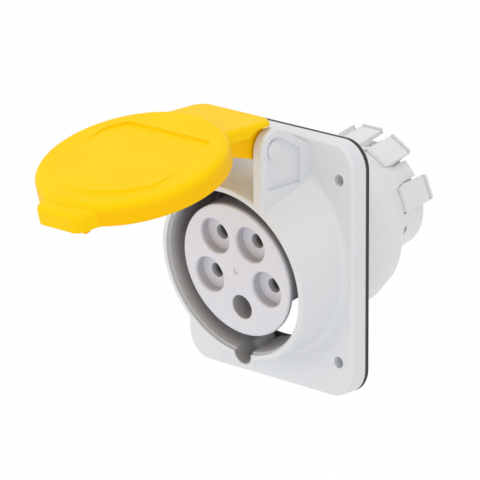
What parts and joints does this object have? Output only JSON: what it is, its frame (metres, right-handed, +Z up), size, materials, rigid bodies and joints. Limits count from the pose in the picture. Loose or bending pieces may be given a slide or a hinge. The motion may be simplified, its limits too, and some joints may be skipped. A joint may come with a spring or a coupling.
{
  "type": "industrial panel socket",
  "caption": "Angled flush panel socket for industrial round plugs, with a hinged yellow lid, a rectangular flange with gasket, pin sleeves and wiring levers behind.",
  "frame": {"origin": "centre of the four panel holes, on the rear face of the panel gasket", "axes": "+Y into the panel, +X to the right and +Z up as seen from the front"},
  "size_m": [0.079, 0.1655, 0.104],
  "materials": {
    "grey_plastic": "light grey moulded polyamide, fine satin",
    "insert_plastic": "light grey moulded insert, satin",
    "milky_plastic": "milky white moulded polyamide, satin",
    "yellow_plastic": "warm yellow moulded polyamide, soft gloss",
    "rubber": "black elastomer, matt",
    "brass": "bright turned brass",
    "steel": "zinc plated spring steel"
  },
  "bodies": {
    "body": {"front_moulding": "grey_plastic", "panel_gasket": "rubber", "contact_carrier": "insert_plastic", "terminal_housing": "milky_plastic", "line_contact_1": "brass", "line_contact_2": "brass", "line_contact_3": "brass", "line_contact_4": "brass", "earth_contact": "brass", "clamp_spring_1": "steel", "clamp_spring_2": "steel", "clamp_spring_3": "steel", "clamp_spring_4": "steel", "clamp_spring_5": "steel", "hinge_pin": "steel", "lid_spring": "steel"},
    "lid": {"lid": "yellow_plastic", "lid_seal": "rubber"},
    "lever_1": {"lever_1": "milky_plastic"},
    "lever_2": {"lever_2": "milky_plastic"},
    "lever_3": {"lever_3": "milky_plastic"},
    "lever_4": {"lever_4": "milky_plastic"},
    "lever_5": {"lever_5": "milky_plastic"}
  },
  "joints": [
    {"name": "lid_hinge", "type": "hinge", "parent": "body", "child": "lid", "pos_m": [0, -0.0264, 0.0451], "axis": [1, 0, 0], "range_deg": [-10, 84.6], "deforming": ["lid_spring"]},
    {"name": "lever_1_hinge", "type": "hinge", "parent": "body", "child": "lever_1", "pos_m": [-0.02057, 0.03792, 0.01379], "axis": [0.2419, -0.1685, 0.9556], "range_deg": [-2, 58]},
    {"name": "lever_2_hinge", "type": "hinge", "parent": "body", "child": "lever_2", "pos_m": [-0.01123, 0.03569, 0.02644], "axis": [0.848, -0.092, 0.5219], "range_deg": [-2, 58]},
    {"name": "lever_3_hinge", "type": "hinge", "parent": "body", "child": "lever_3", "pos_m": [0, 0.03513, 0.02962], "axis": [1, 0, 0], "range_deg": [-2, 58]},
    {"name": "lever_4_hinge", "type": "hinge", "parent": "body", "child": "lever_4", "pos_m": [0.01123, 0.03569, 0.02644], "axis": [0.848, 0.092, -0.5219], "range_deg": [-2, 58]},
    {"name": "lever_5_hinge", "type": "hinge", "parent": "body", "child": "lever_5", "pos_m": [0.02057, 0.03792, 0.01379], "axis": [0.2419, 0.1685, -0.9556], "range_deg": [-2, 58]}
  ]
}
